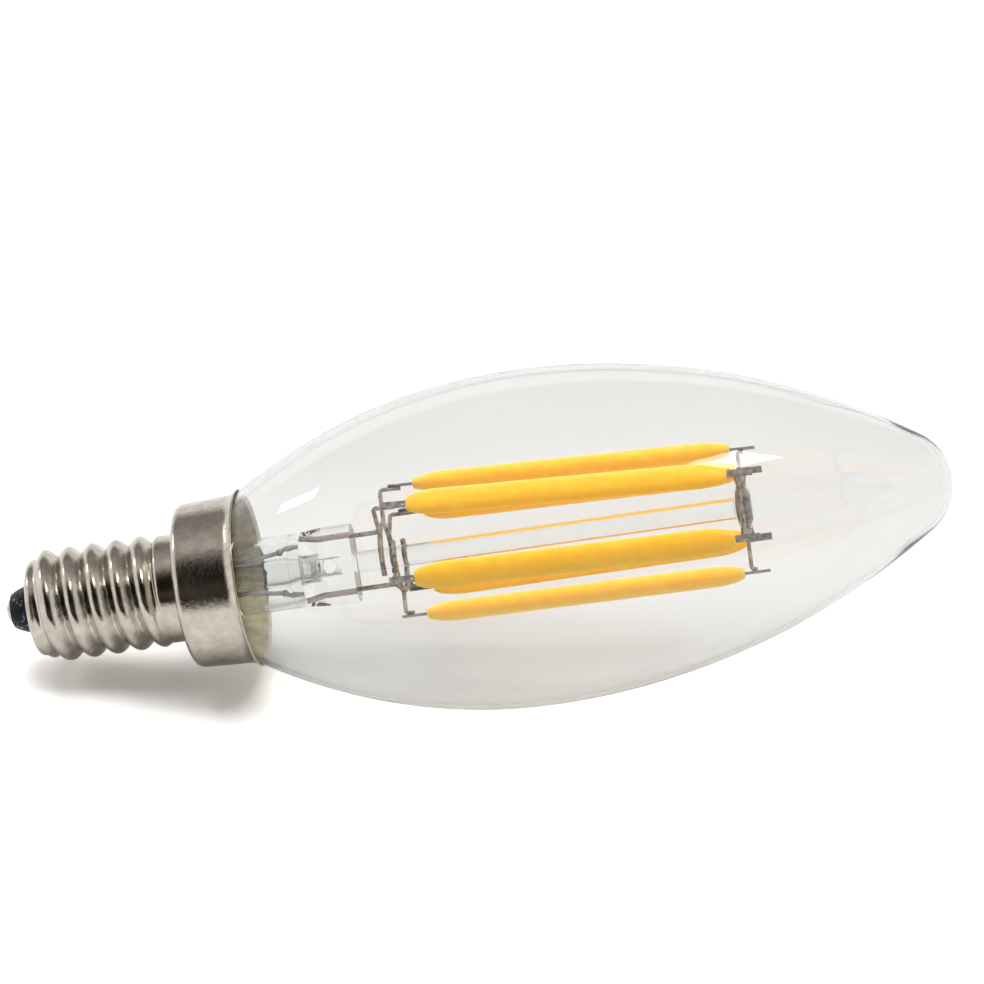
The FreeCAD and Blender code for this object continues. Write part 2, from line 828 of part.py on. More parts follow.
def outer_lead(side):
    """From the board's top edge, past the exhaust tube, to the press wire."""
    pass_rise = side * float(named("lead_pass_rise"))
    pass_offset = -float(named("lead_pass_offset"))
    weld = V(side * float(named("weld_spread")), -float(named("weld_offset")), weld_height)
    path = [
        V(side * float(named("lead_foot_rise")), 0, board_top),
        V(side * float(named("lead_foot_rise")), 0, board_top + lead_straight),
        V(pass_rise, pass_offset, flare_top + float(named("lead_pass_start"))),
        V(pass_rise, pass_offset, flare_foot + float(named("lead_pass_end"))),
        weld,
        V(side * lead_spread, 0, cavity_top - lead_straight),
        V(side * lead_spread, 0, cavity_top),
    ]
    lead = wire(path, lead_wire, lead_straight)
    return lead.fuse(Part.makeSphere(float(named("weld_radius")), weld))


def spoke(end, number, ring_radius, height, far_height):
    """From the ring at one height, out to the tab, then along the tab's inner face."""
    place = light_place(number)
    along = place.Rotation.multVec(V(0, 0, 1))
    across = -float(named("tab_thickness")) / 2 - spoke_wire
    heel = place.multVec(V(across, 0, (height - place.Base.z) / along.z))
    far = place.multVec(V(across, 0, (far_height - place.Base.z) / along.z))
    angle = math.radians(turn_at(end, number))
    start = V(ring_radius * math.cos(angle), ring_radius * math.sin(angle), height)
    return wire([start, heel, far], spoke_wire, float(named("spoke_bend")))


def ring_wire_shape(radius, height, first_turn=0.0, sweep=360.0):
    """A round wire bent to a ring, or to part of one."""
    if sweep >= 360:
        return Part.makeTorus(radius, ring_wire, V(0, 0, height))
    section = Part.Face(Part.Wire([Part.makeCircle(ring_wire, V(radius, 0, height), V(0, 1, 0))]))
    ring = section.revolve(V(0, 0, 0), V(0, 0, 1), sweep)
    ring.rotate(V(0, 0, 0), V(0, 0, 1), first_turn)
    return ring


def press_wire_piece(side):
    foot = V(side * lead_spread, 0, cavity_top)
    return Part.makeCylinder(press_wire, press_top - cavity_top, foot)


def base_frame(side, height, carried):
    """A post from the press wire, a ring round the rod, and a spoke to each light rod that it carries."""
    ring_radius = float(named("ring_radius"))
    post = wire([
        V(side * lead_spread, 0, press_top),
        V(side * lead_spread, 0, height - (ring_radius - lead_spread)),
        V(side * ring_radius, 0, height),
    ], float(named("post_wire_radius")))
    sweep = float(named("frame_sweep"))
    middle = 0 if side > 0 else 180
    frame = ring_wire_shape(ring_radius, height, middle - sweep / 2, sweep)
    far_height = light_base - float(named("tab_length")) + float(named("spoke_overlap"))
    spokes = [spoke("base", number, ring_radius, height, far_height) for number in carried]
    return frame.fuse([post] + spokes)


def tip_frame():
    """One ring that joins all light rods at the tip, held by a cross wire through the rod's button."""
    far_height = light_base + float(light_length) + float(named("spoke_overlap"))
    spokes = [spoke("tip", number, tip_ring, tip_frame_height, far_height) for number in numbers]
    cross = Part.makeCylinder(spoke_wire, 2 * tip_ring, V(-tip_ring, 0, tip_frame_height), V(1, 0, 0))
    return ring_wire_shape(tip_ring, tip_frame_height).fuse([cross] + spokes)


upper_first = sorted(numbers, key=lambda number: math.cos(math.radians(even_turn(number))))
half_count = rod_count // 2
for name, side in (("lower", 1), ("upper", -1)):
    shaped(f"{name}_outer_lead", outer_lead(side))
    shaped(f"{name}_press_wire", press_wire_piece(side))
upper_height = light_base - float(named("upper_frame_drop"))
lower_height = light_base - float(named("lower_frame_drop"))
shaped("upper_base_frame", base_frame(-1, upper_height, upper_first[:half_count]))
shaped("lower_base_frame", base_frame(1, lower_height, upper_first[half_count:]))
shaped("tip_frame", tip_frame())

# Driver: a narrow board in the screw shell with its few parts on both faces
board_width = 2 * (named("thread_root_radius") - named("shell_sheet") - named("board_clearance"))
board_bottom = named("board_bottom")
board_half = named("board_thickness") / 2
notch = named("board_notch")
board = new_body("driver_board")
board_pad = board.newObject("PartDesign::Pad", "board_pad")
board_pad.Profile = outline(board, "board_outline", [
    (ZERO - board_width / 2 + notch, board_bottom),
    (board_width / 2 - notch, board_bottom),
    (board_width / 2, board_bottom + notch),
    (board_width / 2, named("board_top")),
    (ZERO - board_width / 2, named("board_top")),
    (ZERO - board_width / 2, board_bottom + notch),
])
board_pad.SideType = "Symmetric"
bound(board_pad, Length=named("board_thickness"))
keep(board, "driver_board")


def on_board(side, height):
    """A frame on the board's face: z away from the board, y up the bulb; side is +1 or -1 along y."""
    outward = V(0, side, 0)
    turn = FreeCAD.Rotation(V(), V(0, 0, 1), outward, "ZYX")
    return FreeCAD.Placement(V(0, side * board_face, height), turn)


def chip(label, width, body_length, side):
    """A moulded block with two bent legs on each side."""
    thickness = named("chip_thickness")
    block = box(f"{label}_block", width, body_length, thickness)
    legs = []
    leg_reach = named("leg_reach")
    for edge in (-1, 1):
        for step in (-1, 1):
            across = edge * (float(width) / 2 + float(leg_reach) / 2)
            up = step * float(body_length) / 4
            name = f"{label}_leg_{edge}_{step}"
            legs.append(box(name, leg_reach, named("leg_width"), thickness / 2, (across, up, 0)))
    keep(combined("fuse", f"{label}_body", block, legs), label, on_board(side, float(named("chip_height"))))


chip("rectifier", named("rectifier_width"), named("rectifier_length"), -1)
chip("driver_chip", named("driver_chip_width"), named("driver_chip_length"), 1)

resistor_bottom = named("resistor_bottom")
resistor_length = named("resistor_length")
resistor_radius = named("resistor_radius")
cap_height = named("resistor_cap_length")
waist = named("resistor_waist_radius")
waist_start = cap_height + named("resistor_slope")
resistor_axis = FreeCAD.Placement(V(0, -float(board_half + resistor_radius), 0), FreeCAD.Rotation())
turned("fuse_resistor", [
    (ZERO, resistor_bottom),
    (resistor_radius, resistor_bottom),
    (resistor_radius, resistor_bottom + cap_height),
    (waist, resistor_bottom + waist_start),
    (waist, resistor_bottom + resistor_length - waist_start),
    (resistor_radius, resistor_bottom + resistor_length - cap_height),
    (resistor_radius, resistor_bottom + resistor_length),
    (ZERO, resistor_bottom + resistor_length),
], resistor_axis)

capacitor_radius = named("capacitor_radius")
capacitor_bottom = named("capacitor_bottom")
groove = named("capacitor_groove")
groove_bottom = capacitor_bottom + named("capacitor_groove_height")
capacitor_axis = FreeCAD.Placement(V(0, float(board_half + capacitor_radius), 0), FreeCAD.Rotation())
turned("capacitor", [
    (ZERO, capacitor_bottom),
    (capacitor_radius, capacitor_bottom),
    (capacitor_radius, groove_bottom),
    (capacitor_radius - groove, groove_bottom + groove),
    (capacitor_radius, groove_bottom + 2 * groove),
    (capacitor_radius, capacitor_bottom + named("capacitor_length")),
    (ZERO, capacitor_bottom + named("capacitor_length")),
], capacitor_axis)

# The two wires of the base: fuse resistor to centre contact, board to shell
resistor_across = -float(board_half + resistor_radius)
wire_radius = float(base_wire)
shaped("contact_wire", wire([
    V(0, 0, float(shank_top)),
    V(0, 0, float(plug_top + named("contact_wire_rise"))),
    V(0, resistor_across, float(plug_top + named("contact_wire_climb"))),
    V(0, resistor_across, float(resistor_bottom)),
], wire_radius, float(named("contact_wire_bend"))))
wire_face = -board_face - wire_radius
shell_flat = (shell_neck - sheet_metal) * math.cos(math.pi / RING_SIDES)
shell_contact = math.sqrt((shell_flat - wire_radius) ** 2 - wire_face**2)
board_edge = float(board_width) / 2 - 2 * wire_radius
shaped("shell_wire", wire([
    V(board_edge, wire_face, board_top - float(named("shell_wire_reach"))),
    V(board_edge, wire_face, board_top + float(named("shell_wire_rise"))),
    V(shell_contact, wire_face, board_top - float(named("shell_wire_drop"))),
    V(shell_contact, wire_face, roll_end + float(named("shell_wire_end"))),
], wire_radius, float(named("shell_wire_bend"))))

# Lay the bulb down: it stands on its belly alone and tips until its centre of mass is over the place
# where it stands, which leaves the screw base a little above the floor
doc.recompute()
METAL = 7.45
DENSITIES = {
    "glass": 2.5,
    "coat": 1.15,
    "ceramic": 2.4,
    "board": 1.6,
}
SUBSTANCES = {
    "glass_envelope": "glass",
    "stem_glass": "glass",
    "exhaust_tube": "glass",
    "glass_rod": "glass",
    "cement_ring": "ceramic",
    "base_insulator": "ceramic",
    "fuse_resistor": "ceramic",
    "driver_board": "board",
    "driver_chip": "board",
    "rectifier": "board",
    "capacitor": "board",
}


def density_of(label):
    """Grams in a cubic centimetre of what the sub-part is made of; metal where nothing else is named."""
    if label.endswith("_coat"):
        return DENSITIES["coat"]
    if label.endswith("_strip"):
        return DENSITIES["ceramic"]
    if label in SUBSTANCES:
        return DENSITIES[SUBSTANCES[label]]
    return METAL


def weighed():
    """Mass in grams, and the height of the centre of mass above the contact end of the upright bulb."""
    mass = 0.0
    moment = 0.0
    for feature in subparts:
        for solid in feature.Shape.Solids:
            grams = solid.Volume / 1000 * density_of(feature.Label)
            mass += grams
            moment += grams * solid.CenterOfMass.z
    return mass, moment / mass


bulb_mass, mass_height = weighed()
lean = math.atan2(float(belly) - mass_height, float(belly_arc - glass_radius))
tilt = FreeCAD.Rotation(V(0, 1, 0), 90 - math.degrees(lean))
outer_names = ("glass_envelope", "screw_shell", "collar", "centre_contact")
tilt_matrix = FreeCAD.Placement(V(), tilt).toMatrix()
outer_shapes = [feature.Shape for feature in subparts if feature.Label in outer_names]
bounds = [shape.transformed(tilt_matrix).optimalBoundingBox() for shape in outer_shapes]
centre_x = (min(b.XMin for b in bounds) + max(b.XMax for b in bounds)) / 2
centre_y = (min(b.YMin for b in bounds) + max(b.YMax for b in bounds)) / 2
floor = min(b.ZMin for b in bounds)
lying = FreeCAD.Placement(V(-centre_x, -centre_y, -floor), tilt)
roll = FreeCAD.Rotation(V(0, 0, 1), float(named("lie_turn")))
lying = lying.multiply(FreeCAD.Placement(V(), roll))
for feature in subparts:
    feature.Placement = lying.multiply(feature.Placement)
doc.recompute()

for feature in doc.Objects:
    if "Invalid" in feature.State or "Error" in feature.State:
        raise RuntimeError(f"{feature.Name} did not build: {feature.State}")
for feature in subparts:
    if feature.Shape.isNull() or not feature.Shape.isValid() or not feature.Shape.Solids:
        raise RuntimeError(f"{feature.Label} has no valid solid")

os.makedirs("parts", exist_ok=True)
for feature in subparts:
    feature.Shape.exportStep(f"parts/{feature.Label}.step")
print(f"mass {bulb_mass:.2f} g, its centre {mass_height:.2f} mm up")
print(f"lean {math.degrees(lean):.3f} degrees, centre contact at", lying.Base, f"{len(subparts)} sub-parts")
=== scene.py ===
# %% [markdown]
# # A clear candle bulb, lying on a white floor
#
# The bulb is a blown glass shell over a cage of six yellow light rods. The rods stand around a clear
# glass rod, the glass rod stands on a pressed glass stem, and the stem is sealed into the neck. A bright
# collar and a rolled screw shell close the bottom. The frame already holds every piece at its true place,
# so this lesson is about the surfaces: how to turn smooth glass, how to roll a thread, and how to light
# bare metal and clear glass on white.

# %% Load the frame
import json
import math

import bmesh
import bpy
from mathutils import Matrix, Vector, noise


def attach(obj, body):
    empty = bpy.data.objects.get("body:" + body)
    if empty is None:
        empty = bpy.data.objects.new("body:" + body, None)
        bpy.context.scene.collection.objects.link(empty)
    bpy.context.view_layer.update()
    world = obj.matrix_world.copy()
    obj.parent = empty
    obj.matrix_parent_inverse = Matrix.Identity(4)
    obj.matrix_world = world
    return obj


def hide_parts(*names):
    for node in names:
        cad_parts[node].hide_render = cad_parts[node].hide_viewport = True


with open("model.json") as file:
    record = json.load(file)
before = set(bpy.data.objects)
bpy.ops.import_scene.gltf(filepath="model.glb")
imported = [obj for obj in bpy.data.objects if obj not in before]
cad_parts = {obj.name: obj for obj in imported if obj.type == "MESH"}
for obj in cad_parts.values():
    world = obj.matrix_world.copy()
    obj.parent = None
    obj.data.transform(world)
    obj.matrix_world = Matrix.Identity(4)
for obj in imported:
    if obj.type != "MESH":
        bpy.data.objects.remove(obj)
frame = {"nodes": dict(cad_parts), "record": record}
bpy.context.scene.view_settings.view_transform = "Standard"
nodes = frame["nodes"]
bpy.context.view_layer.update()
print("the frame holds", len(nodes), "pieces")

# %% [markdown]
# The pieces are easiest to draw upright and in millimetres, with the contact end at zero and the glass
# tip at one hundred. The record says where the contact end is and which way the axis points, so one
# matrix lays every drawn piece down exactly where the frame has it.

# %% Lay upright drawings down along the bulb's axis
MM = 0.001
contact_face = next(m for m in frame["record"]["mounts"] if m["name"] == "contact_face")
FOOT = Vector(contact_face["pos_m"])
AXIS = -Vector(contact_face["axis"])
LEAN = math.atan2(AXIS.z, AXIS.x)
LIE_TURN = math.radians(-34.17)
TURN_DOWN = Matrix.Rotation(math.pi / 2 - LEAN, 4, "Y") @ Matrix.Rotation(LIE_TURN, 4, "Z")
LAY_DOWN = Matrix.Translation(FOOT) @ TURN_DOWN @ Matrix.Scale(MM, 4)
print("the axis climbs", round(math.degrees(LEAN), 2), "degrees from the floor")

# %% [markdown]
# ## The camera
#
# In the photograph the bulb's axis climbs to the right and its tip comes a little towards the camera.
# Those two angles, and a camera 35 degrees above the floor, fix the view. Working the camera out from the
# axis means that it stays right if the bulb's lie is changed.

# %% Work out the camera from the axis
PHOTO_SIDE = 984
PHOTO_FOCAL = 5785.1
SENSOR = 36
CAMERA_DISTANCE = 0.6
CAMERA_HEIGHT = math.radians(35)
PICTURE_CLIMB = math.radians(8.18)
COMES_FORWARD = math.radians(8.3)
AIM_RIGHT = -0.001787
AIM_UP = -0.005555


def camera_axes():
    """Right, up and back of the camera that shows the bulb's axis as the photograph does."""
    level = math.sin(COMES_FORWARD) - math.sin(LEAN) * math.sin(CAMERA_HEIGHT)
    swing = math.asin(level / (math.cos(LEAN) * math.cos(CAMERA_HEIGHT)))
    right = Vector((math.cos(swing), math.sin(swing), 0))
    back = Vector((math.sin(swing), -math.cos(swing), 0)) * math.cos(CAMERA_HEIGHT)
    back.z = math.sin(CAMERA_HEIGHT)
    up = back.cross(right)
    roll = math.atan2(AXIS.dot(up), AXIS.dot(right)) - PICTURE_CLIMB
    return (
        right * math.cos(roll) + up * math.sin(roll),
        up * math.cos(roll) - right * math.sin(roll),
        back,
    )


right, up, back = camera_axes()
middle = FOOT + AXIS * 50 * MM
stand = middle + back * CAMERA_DISTANCE - right * AIM_RIGHT - up * AIM_UP
camera = bpy.data.objects.new("camera", bpy.data.cameras.new("camera"))
camera.data.sensor_width = SENSOR
camera.data.lens = PHOTO_FOCAL / PHOTO_SIDE * SENSOR
camera.data.clip_start = 0.01
camera.data.clip_end = 20
turned = Matrix((right, up, back)).transposed().to_4x4()
camera.matrix_world = Matrix.Translation(stand) @ turned
bpy.context.scene.collection.objects.link(camera)
bpy.context.scene.camera = camera
print("the camera stands at", [round(v, 3) for v in stand])

# %% [markdown]
# ## Materials
#
# Every finish is a small node tree. The patterns need a direction, such as around the thread or along
# the wire, so the object coordinates are first turned back upright and into millimetres. A noise of
# 3 per millimetre then means the same on every piece.

# %% Start a material with upright coordinates in millimetres
class Finish:
    """A node tree with one Principled shader and upright millimetre coordinates."""

    def __init__(self, name):
        self.material = bpy.data.materials.new(name)
        self.material.use_nodes = True
        self.tree = self.material.node_tree
        self.tree.nodes.clear()
        self.output = self.add("ShaderNodeOutputMaterial")
        self.shader = self.add("ShaderNodeBsdfPrincipled")
        self.join(self.shader.outputs["BSDF"], self.output.inputs["Surface"])
        coordinates = self.add("ShaderNodeTexCoord")
        mapping = self.add("ShaderNodeMapping")
        upright = TURN_DOWN.inverted()
        mapping.inputs["Scale"].default_value = (1 / MM, 1 / MM, 1 / MM)
        mapping.inputs["Rotation"].default_value = upright.to_euler()
        mapping.inputs["Location"].default_value = upright @ (-FOOT / MM)
        self.join(coordinates.outputs["Object"], mapping.inputs["Vector"])
        self.place = mapping.outputs["Vector"]

    def add(self, kind, **values):
        node = self.tree.nodes.new(kind)
        for key, value in values.items():
            setattr(node, key, value)
        return node

    def join(self, source, target):
        self.tree.links.new(source, target)

    def set(self, **values):
        """Plain numbers and colours on the shader's own sockets; an underscore stands for a space."""
        for key, value in values.items():
            self.shader.inputs[key.replace("_", " ")].default_value = value
        return self

    def noise(self, scale, detail=4.0, stretch=(1, 1, 1), roughness=0.55):
        """Noise with scale features to the millimetre; stretch squeezes it along the upright axes."""
        squeeze = self.add("ShaderNodeVectorMath", operation="MULTIPLY")
        squeeze.inputs[1].default_value = stretch
        self.join(self.place, squeeze.inputs[0])
        node = self.add("ShaderNodeTexNoise")
        node.inputs["Scale"].default_value = scale
        node.inputs["Detail"].default_value = detail
        node.inputs["Roughness"].default_value = roughness
        self.join(squeeze.outputs[0], node.inputs["Vector"])
        return node.outputs["Fac"]

    def ramp(self, factor, *stops):
        """A colour ramp through (position, colour) stops."""
        node = self.add("ShaderNodeValToRGB")
        elements = node.color_ramp.elements
        while len(elements) < len(stops):
            elements.new(0.5)
        for element, (position, colour) in zip(elements, stops):
            element.position = position
            element.color = (*colour, 1)
        self.join(factor, node.inputs["Fac"])
        return node.outputs["Color"]

    def spread(self, factor, low, high, from_low=0.3, from_high=0.7):
        """The factor stretched to run from low to high."""
        node = self.add("ShaderNodeMapRange")
        node.inputs["From Min"].default_value = from_low
        node.inputs["From Max"].default_value = from_high
        node.inputs["To Min"].default_value = low
        node.inputs["To Max"].default_value = high
        self.join(factor, node.inputs["Value"])
        return node.outputs["Result"]

    def colour(self, socket):
        self.join(socket, self.shader.inputs["Base Color"])
        return self

    def rough(self, socket):
        self.join(socket, self.shader.inputs["Roughness"])
        return self

    def bump(self, height, depth_mm, strength=1.0):
        """Fine relief; depth_mm is how deep the pattern's full swing is."""
        node = self.add("ShaderNodeBump")
        node.inputs["Distance"].default_value = depth_mm * MM
        node.inputs["Strength"].default_value = strength
        self.join(height, node.inputs["Height"])
        self.join(node.outputs["Normal"], self.shader.inputs["Normal"])
        return self


print("a Finish starts with upright coordinates")

# %% [markdown]
# Clear glass bends light, so lamps would leave a black shadow behind it. For the rays that look for a
# lamp the shader is swapped for a plain see-through one, which is what real thin glass does to a soft
# shadow. A very faint waviness keeps the highlights from looking machined. The stem gets a lower index
# than glass has, because its many folded faces would otherwise fill with dark reflections.

# %% Clear glass
def clear_glass(name, bend, tint, pale, waves, wave_depth):
    finish = Finish(name)
    finish.set(Roughness=0.0, IOR=bend, Transmission_Weight=1.0)
    smear = finish.noise(waves, 2.0)
    finish.colour(finish.ramp(smear, (0.3, tint), (0.7, pale)))
    finish.bump(smear, wave_depth)
    clear = finish.add("ShaderNodeBsdfTransparent")
    clear.inputs["Color"].default_value = (0.965, 0.965, 0.96, 1)
    path = finish.add("ShaderNodeLightPath")
    swap = finish.add("ShaderNodeMixShader")
    finish.join(path.outputs["Is Shadow Ray"], swap.inputs[0])
    finish.join(finish.shader.outputs["BSDF"], swap.inputs[1])
    finish.join(clear.outputs[0], swap.inputs[2])
    finish.join(swap.outputs[0], finish.output.inputs["Surface"])
    return finish.material


blown_glass = clear_glass("blown_glass", 1.5, (0.965, 0.972, 0.968), (0.98, 0.983, 0.98), 0.12, 0.02)
stem_glass = clear_glass("stem_glass", 1.3, (0.95, 0.965, 0.955), (0.985, 0.99, 0.986), 0.5, 0.03)
print("glass:", blown_glass.name, stem_glass.name)

# %% [markdown]
# The screw shell and the collar are nickel plate, slightly warm and not quite even: a cloudy stain, a
# fine pitting, and drawing marks around the axis.

# %% Nickel plate
def nickel(name, roughness, pit_depth):
    finish = Finish(name)
    finish.set(Metallic=1.0)
    cloud = finish.noise(0.9, 6.0)
    finish.colour(finish.ramp(cloud, (0.32, (0.50, 0.455, 0.395)), (0.68, (0.66, 0.615, 0.545))))
    grain = finish.noise(1.7, 6.0, (1, 1, 1.3), 0.72)
    finish.rough(finish.spread(grain, roughness * 0.75, roughness * 1.5))
    finish.bump(grain, pit_depth)
    return finish.material


shell_nickel = nickel("shell_nickel", 0.09, 0.028)
collar_nickel = nickel("collar_nickel", 0.09, 0.036)
print("nickel:", shell_nickel.name, collar_nickel.name)

# %% [markdown]
# The light rods are coated with a silicone full of yellow phosphor. It is soft, slightly see-through and
# very saturated where it is thick, and paler where it thins out at the ends and edges. A phosphor turns
# part of the blue light that falls on it into yellow, so the coat looks brighter than paint would. A weak
# glow of its own stands for that. It is painted light, since the bulb is not lit, and it also lifts rods
# that the lamps leave too dark. The paler rim along the outline is partly painted light through the thin
# edge.

# %% The coat, with a painted glow
def glow_coat():
    finish = Finish("glow_coat")
    finish.set(Roughness=0.38, Subsurface_Weight=0.35, Subsurface_Scale=0.0012)
    finish.set(Subsurface_Radius=(1.0, 0.55, 0.08), Coat_Weight=0.15, Coat_Roughness=0.3)
    # A weak painted glow, not a lamp: it brightens a coat that the lighting leaves too dark.
    finish.set(Emission_Color=(0.95, 0.54, 0.02, 1), Emission_Strength=0.3)
    mottle = finish.noise(0.8, 5.0)
    deep = (0.96, 0.43, 0.006)
    yellow = (0.97, 0.50, 0.010)
    light = (1.0, 0.57, 0.03)
    thick = finish.ramp(mottle, (0.3, deep), (0.52, yellow), (0.72, light))
    finish.bump(finish.noise(2.2, 4.0), 0.03)
    # Paler where the surface turns away from the view: partly the thin coat's own colour, partly painted
    # light shining through the edge.
    thin_edge_and_rim_light = finish.add("ShaderNodeLayerWeight")
    thin_edge_and_rim_light.inputs["Blend"].default_value = 0.24
    paler = finish.add("ShaderNodeMix", data_type="RGBA")
    finish.join(thin_edge_and_rim_light.outputs["Facing"], paler.inputs["Factor"])
    finish.join(thick, paler.inputs["A"])
    paler.inputs["B"].default_value = (1.0, 0.70, 0.12, 1)
    finish.colour(paler.outputs["Result"])
    return finish.material


coat_material = glow_coat()
print("coat:", coat_material.name)

# %% [markdown]
# The small metals and the base's materials follow the same pattern: a colour that wanders a little, a
# roughness that wanders with it, and a shallow relief at the scale of the real surface.

# %% The other finishes
METAL = {"Metallic": 1.0}


def plain_finish(name, dark, light, roughness, scale, depth, **values):
    finish = Finish(name)
    finish.set(**values)
    wander = finish.noise(scale, 5.0)
    finish.colour(finish.ramp(wander, (0.32, dark), (0.68, light)))
    finish.rough(finish.spread(wander, roughness * 0.8, roughness * 1.25))
    finish.bump(finish.noise(scale * 3, 3.0), depth)
    return finish.material


def black_glass():
    """Poured black glass: nearly no colour, a hard gloss, and small chips with painted glints."""
    finish = Finish("black_glass")
    finish.set(Roughness=0.08, Specular_IOR_Level=0.12)
    chips_and_glints = finish.noise(1.9, 5.0, (1, 1, 1), 0.65)
    black = (0.001, 0.001, 0.003)
    blue = (0.006, 0.008, 0.02)
    # The brightest stop of the ramp paints glints on the chips; the relief from the same noise is real.
    finish.colour(finish.ramp(chips_and_glints, (0.3, black), (0.58, blue), (0.66, (0.42, 0.45, 0.52))))
    finish.bump(chips_and_glints, 0.4)
    return finish.material


finishes = {
    "clear_glass": stem_glass,
    "nickel_plate": collar_nickel,
    "glow_coat": coat_material,
    "black_glass": black_glass(),
}
plain_rows = (
    ("solder", (0.42, 0.41, 0.39), (0.80, 0.79, 0.76), 0.32, 1.6, 0.05, METAL),
    ("cement", (0.38, 0.32, 0.12), (0.72, 0.63, 0.38), 0.85, 0.7, 0.12, {}),
    ("strip_ceramic", (0.72, 0.70, 0.62), (0.86, 0.84, 0.78), 0.5, 2.0, 0.01, {}),
    ("tab_metal", (0.15, 0.13, 0.12), (0.50, 0.46, 0.43), 0.34, 1.8, 0.03, METAL),
    ("frame_wire", (0.16, 0.14, 0.12), (0.55, 0.50, 0.45), 0.3, 1.4, 0.03, METAL),
    ("lead_wire", (0.20, 0.19, 0.19), (0.46, 0.44, 0.43), 0.35, 1.2, 0.02, METAL),
    ("press_copper", (0.30, 0.16, 0.11), (0.52, 0.30, 0.21), 0.3, 1.5, 0.02, METAL),
    ("board", (0.02, 0.09, 0.035), (0.05, 0.17, 0.07), 0.45, 1.5, 0.02, {"Coat_Weight": 0.4}),
    ("moulded_black", (0.012, 0.012, 0.012), (0.035, 0.035, 0.036), 0.5, 3.0, 0.02, {}),
    ("resistor_lacquer", (0.10, 0.24, 0.34), (0.20, 0.38, 0.50), 0.35, 1.2, 0.02, {"Coat_Weight": 0.5}),
    ("capacitor_sleeve", (0.01, 0.012, 0.03), (0.03, 0.036, 0.07), 0.25, 0.9, 0.02, {}),
)
for slot_name, dark, light, roughness, scale, depth, more in plain_rows:
    finishes[slot_name] = plain_finish(slot_name, dark, light, roughness, scale, depth, **more)
print(len(finishes), "finishes")

# %% [markdown]
# Every piece of the frame names a slot, such as frame_wire. Its finish goes there now. The pieces that
# are drawn again further down bring their own.

# %% Give every piece of the frame the finish of its slot
for node in nodes.values():
    for index, material_slot in enumerate(node.material_slots):
        node.material_slots[index].material = finishes[material_slot.material.name.split(".")[0]]
print("dressed", len(nodes), "pieces of the frame")

# %% [markdown]
# ## Turning and placing
#
# Most of a bulb is turned about one axis. A turned piece starts as a line of points beside the axis, its
# half section, which the spin operator carries round. A section that ends on the axis leaves a pole
# there, so doubles are merged before the faces are made to look outwards.

# %% Helpers for turned pieces
def arc(centre, radius, start, end, steps):
    """Points on a circle of the half section, with the angles in degrees from straight outwards."""
    points = []
    for step in range(steps + 1):
        angle = math.radians(start + (end - start) * step / steps)
        points.append((centre[0] + radius * math.cos(angle), centre[1] + radius * math.sin(angle)))
    return points


def turn(half_section, steps, closed):
    """Spin a half section of (radius, height) points about the upright axis."""
    bm = bmesh.new()
    line = [bm.verts.new((max(radius, 0.0), 0, height)) for radius, height in half_section]
    edges = [bm.edges.new(pair) for pair in zip(line, line[1:])]
    if closed:
        edges.append(bm.edges.new((line[-1], line[0])))
    bmesh.ops.spin(
        bm,
        geom=line + edges,
        cent=(0, 0, 0),
        axis=(0, 0, 1),
        dvec=(0, 0, 0),
        angle=2 * math.pi,
        steps=steps,
        use_merge=True,
        use_normal_flip=False,
        use_duplicate=False,
    )
    bmesh.ops.remove_doubles(bm, verts=bm.verts, dist=0.0005)
    bmesh.ops.recalc_face_normals(bm, faces=bm.faces)
    return bm


def lay_piece(name, bm, material, stands_for, sharp=None, place=None):
    """Lay an upright drawing down, and let it stand for the frame's own pieces."""
    if place is not None:
        bmesh.ops.transform(bm, matrix=place, verts=bm.verts)
    bmesh.ops.transform(bm, matrix=LAY_DOWN, verts=bm.verts)
    mesh = bpy.data.meshes.new(name)
    bm.to_mesh(mesh)
    bm.free()
    mesh.shade_smooth()
    if sharp is not None:
        mesh.set_sharp_from_angle(angle=math.radians(sharp))
    mesh.materials.append(material)
    piece = bpy.data.objects.new(name, mesh)
    bpy.context.scene.collection.objects.link(piece)
    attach(piece, "root")
    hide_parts(*stands_for)
    print(name, len(mesh.polygons), "faces")
    return piece


def ease(value):
    """0 below 0, 1 above 1, and a soft step between."""
    value = max(0.0, min(1.0, value))
    return value * value * (3 - 2 * value)


print("helpers are ready")

# %% [markdown]
# ## The glass
#
# The shell's outline is three arcs: a long one from the neck to the belly, a longer one on to the nose,
# and a small one round the tip. The inner wall follows the same arcs half a millimetre further in, but
# at the tip, where the glass was drawn off in the flame, the wall grows thick and wavy. That is what
# makes the soft swirls at the end of a real bulb.

# %% The glass envelope
BELLY = 56.0
GLASS_RADIUS = 17.5
GLASS_WALL = 0.55
NECK_RADIUS = 7.6
NECK_BOTTOM = 20.6
BELLY_ARC = 57.0
NOSE_ARC = 74.5
LENGTH = 100.0
REACH = LENGTH - BELLY
ACROSS = NOSE_ARC - GLASS_RADIUS
TIP_ARC = (NOSE_ARC**2 - REACH**2 - ACROSS**2) / (2 * (NOSE_ARC - REACH))


def glass_line(inset):
    """The wall's half section from the tip down to the neck, inset from the outer face."""
    joint = math.degrees(math.atan2(REACH - TIP_ARC, ACROSS))
    arc_left = BELLY_ARC - inset
    neck = math.degrees(math.acos((NECK_RADIUS - inset + BELLY_ARC - GLASS_RADIUS) / arc_left))
    line = arc((0, LENGTH - TIP_ARC), TIP_ARC - inset, 90, joint, 24)
    line += arc((GLASS_RADIUS - NOSE_ARC, BELLY), NOSE_ARC - inset, joint, 0, 56)[1:]
    line += arc((GLASS_RADIUS - BELLY_ARC, BELLY), arc_left, 0, -neck, 44)[1:]
    line += [(NECK_RADIUS - inset, NECK_BOTTOM)]
    return line


TIP_START = 80.0
TIP_CENTRE = Vector((0, 0, 88.0))
TIP_THICKER = 0.22
TIP_UNEVEN = 0.16
TIP_JOINT = 3.3


